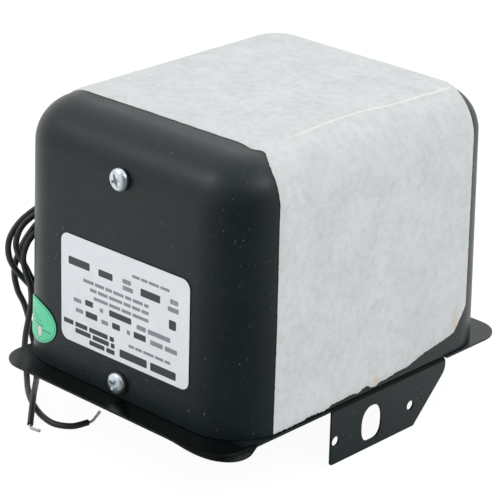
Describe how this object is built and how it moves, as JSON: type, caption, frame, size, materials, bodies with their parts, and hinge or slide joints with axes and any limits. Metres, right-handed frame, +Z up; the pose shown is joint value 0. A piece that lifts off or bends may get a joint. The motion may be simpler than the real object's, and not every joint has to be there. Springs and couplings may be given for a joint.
{
  "type": "ignition transformer",
  "caption": "Ignition transformer in a drawn steel can on a folded mounting plate, with leads from one side and high-voltage bushings below.",
  "frame": {"origin": "underside of the base plate, below the middle of the can in plan", "axes": "+Z up out of the plate towards the can's top, +Y along the can's longer side away from the front face, +X towards the folded tab"},
  "size_m": [0.1476, 0.1745, 0.1357],
  "materials": {
    "satin_black_paint": "satin black paint",
    "zinc_plate": "bright zinc plate",
    "lamination_steel": "dull stacked sheet edges",
    "bare_steel": "mill finish",
    "coil_wrap": "varnished paper",
    "press_board": "matte",
    "porcelain": "glossy glaze",
    "brass": "turned brass",
    "gasket_rubber": "matte",
    "lead_insulation": "semi-matte",
    "tinned_copper": "tinned",
    "potting_compound": "dull pitch",
    "label_film": "satin film",
    "sticker_green": "satin film",
    "fibre_paper": "matte fibrous"
  },
  "bodies": {
    "root": {"base_plate": "satin_black_paint", "case": "satin_black_paint", "front_upper_screw": "zinc_plate", "front_lower_screw": "zinc_plate", "back_upper_screw": "zinc_plate", "back_lower_screw": "zinc_plate", "core_e_stack": "lamination_steel", "core_i_stack": "lamination_steel", "limb_tube": "press_board", "primary_coil": "coil_wrap", "front_secondary_coil": "coil_wrap", "back_secondary_coil": "coil_wrap", "front_left_shunt": "lamination_steel", "front_right_shunt": "lamination_steel", "back_left_shunt": "lamination_steel", "back_right_shunt": "lamination_steel", "front_core_bracket": "bare_steel", "back_core_bracket": "bare_steel", "front_plate_angle": "bare_steel", "back_plate_angle": "bare_steel", "front_core_bolt": "zinc_plate", "front_core_nut": "zinc_plate", "back_core_bolt": "zinc_plate", "back_core_nut": "zinc_plate", "front_bushing": "porcelain", "back_bushing": "porcelain", "front_bushing_gasket": "gasket_rubber", "back_bushing_gasket": "gasket_rubber", "front_terminal_stud": "brass", "back_terminal_stud": "brass", "front_terminal_cap": "brass", "back_terminal_cap": "brass", "front_high_voltage_wire": "tinned_copper", "back_high_voltage_wire": "tinned_copper", "front_earth_wire": "tinned_copper", "back_earth_wire": "tinned_copper", "potting_compound": "potting_compound", "lead_grommet": "gasket_rubber", "primary_tail_a": "lead_insulation", "primary_tail_b": "lead_insulation", "lead_a": "lead_insulation", "lead_b": "lead_insulation", "lead_a_bare_end": "tinned_copper", "lead_b_bare_end": "tinned_copper", "rating_label": "label_film", "oval_sticker": "sticker_green", "paper_sheet": "fibre_paper"}
  },
  "joints": []
}
